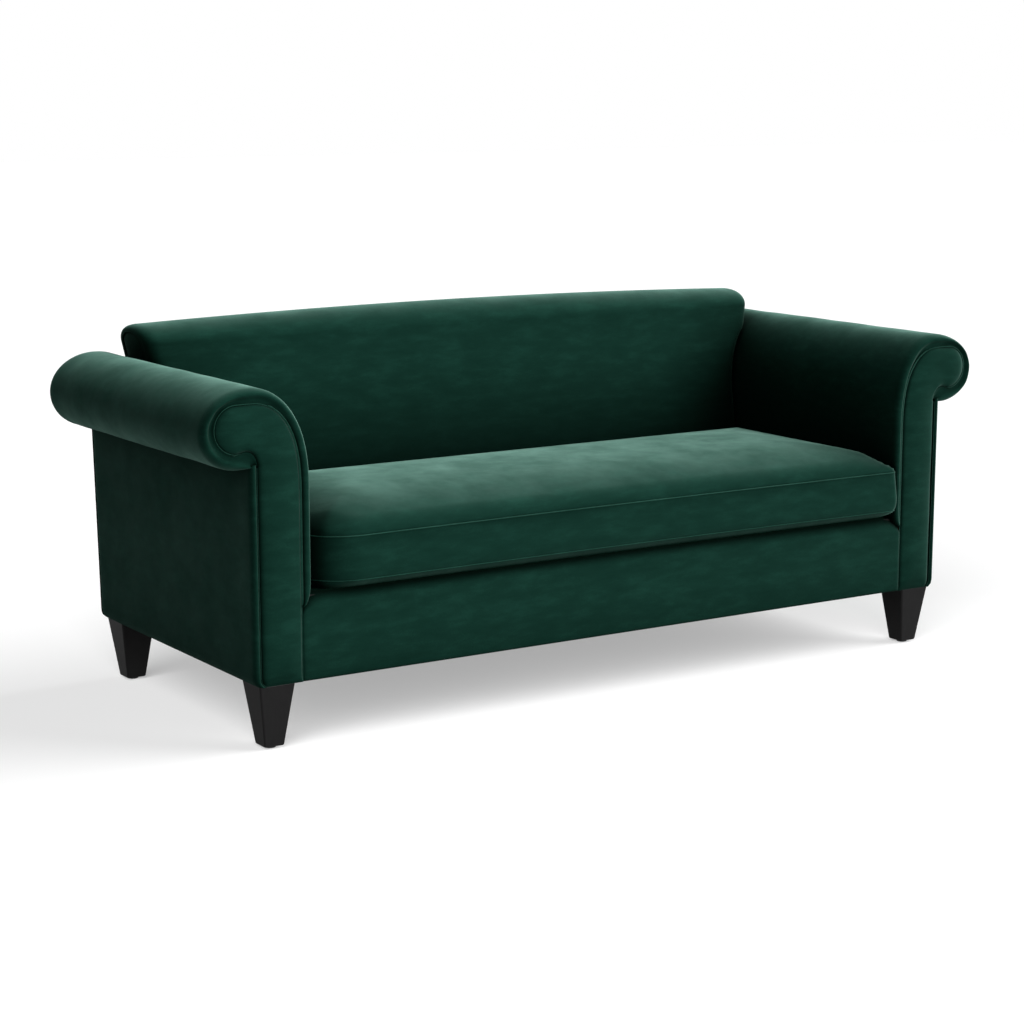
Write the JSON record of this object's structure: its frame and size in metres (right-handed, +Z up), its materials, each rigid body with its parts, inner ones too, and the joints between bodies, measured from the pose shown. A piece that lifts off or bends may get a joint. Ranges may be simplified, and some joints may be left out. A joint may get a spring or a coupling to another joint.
{
  "type": "english roll arm sofa",
  "caption": "Upholstered sofa with scrolled arms, a tight back, a loose bench seat cushion and tapered square legs.",
  "frame": {"origin": "on the floor under the middle of the sofa's bounding box", "axes": "+X along the seat, +Y from the front to the back, +Z up"},
  "size_m": [2.06, 0.8286, 0.832],
  "materials": {
    "velvet": "dark green velvet with a short pile",
    "padding": "polyester and cotton padding over the timber",
    "foam": "upholstery foam",
    "timber": "sawn frame timber and plywood",
    "black_lacquer": "satin black lacquer",
    "spring_steel": "bare steel",
    "deck_cloth": "woven deck cloth over felt",
    "dust_cloth": "black spun dust cloth",
    "nylon": "matt black nylon",
    "zip_tape": "dark green zip tape",
    "zip_metal": "dark zip slider"
  },
  "bodies": {
    "sofa_frame": {"arm_cover_left": "velvet", "arm_cover_right": "velvet", "arm_padding_left": "padding", "arm_padding_right": "padding", "arm_facing_left": "velvet", "arm_facing_right": "velvet", "facing_welt_left": "velvet", "facing_welt_right": "velvet", "outside_arm_left": "velvet", "outside_arm_right": "velvet", "scroll_board_front_left": "timber", "scroll_board_front_right": "timber", "scroll_board_rear_left": "timber", "scroll_board_rear_right": "timber", "side_rail_left": "timber", "side_rail_right": "timber", "tack_rail_left": "timber", "tack_rail_right": "timber", "arm_rail_left": "timber", "arm_rail_right": "timber", "back_end_left": "velvet", "back_end_right": "velvet", "back_post_left": "timber", "back_post_right": "timber", "inside_back_cover": "velvet", "back_padding": "foam", "outside_back": "velvet", "back_upright_centre": "timber", "back_top_rail": "timber", "back_rail": "timber", "front_border": "velvet", "front_rail": "timber", "centre_stretcher": "timber", "seat_springs": "spring_steel", "deck_pad": "deck_cloth", "dust_cover": "dust_cloth", "leg_front_left": "black_lacquer", "glide_front_left": "nylon", "leg_bolt_front_left": "spring_steel", "corner_block_front_left": "timber", "leg_front_right": "black_lacquer", "glide_front_right": "nylon", "leg_bolt_front_right": "spring_steel", "corner_block_front_right": "timber", "leg_rear_left": "black_lacquer", "glide_rear_left": "nylon", "leg_bolt_rear_left": "spring_steel", "corner_block_rear_left": "timber", "leg_rear_right": "black_lacquer", "glide_rear_right": "nylon", "leg_bolt_rear_right": "spring_steel", "corner_block_rear_right": "timber"},
    "seat_cushion": {"cushion_cover": "velvet", "cushion_foam": "foam", "cushion_zip": "zip_tape"},
    "zip_slider": {"zip_slider": "zip_metal"}
  },
  "joints": [
    {"name": "cushion_lift", "type": "slide", "parent": "sofa_frame", "child": "seat_cushion", "axis": [0, 0, 1], "range_m": [0, 0.4]},
    {"name": "zip_slide", "type": "slide", "parent": "seat_cushion", "child": "zip_slider", "axis": [1, 0, 0], "range_m": [0, 1.226]}
  ]
}
